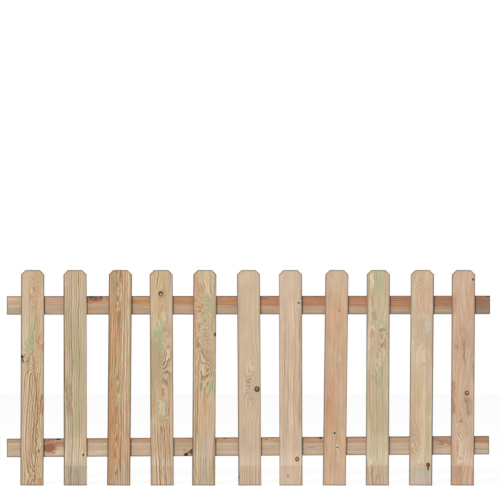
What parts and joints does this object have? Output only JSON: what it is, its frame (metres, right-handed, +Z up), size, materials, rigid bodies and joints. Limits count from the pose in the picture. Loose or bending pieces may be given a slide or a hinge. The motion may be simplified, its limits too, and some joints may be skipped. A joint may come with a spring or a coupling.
{
  "type": "garden fence panel",
  "caption": "Low picket fence panel: upright dog-eared softwood pales fixed to the front of two flat rails, open between them, with rail ends free to lap onto posts.",
  "frame": {"origin": "middle of the bottom rail's back face, which bears on the posts", "axes": "+X along the fence, to the right when seen from the pales' side; +Y from the pales to the back; +Z up"},
  "size_m": [1.8002, 0.046, 0.8023],
  "materials": {
    "pale_timber": "planed, pressure-treated softwood, matt, pinkish tan with green-grey streaks and small knots",
    "rail_timber": "planed, pressure-treated softwood, matt, warm brown heartwood over tan sapwood",
    "nail_steel": "dull galvanised wire nails, flush in the backs of the rails"
  },
  "bodies": {
    "root": {"pale_01": "pale_timber", "pale_02": "pale_timber", "pale_03": "pale_timber", "pale_04": "pale_timber", "pale_05": "pale_timber", "pale_06": "pale_timber", "pale_07": "pale_timber", "pale_08": "pale_timber", "pale_09": "pale_timber", "pale_10": "pale_timber", "pale_11": "pale_timber", "top_rail": "rail_timber", "bottom_rail": "rail_timber"}
  },
  "joints": []
}
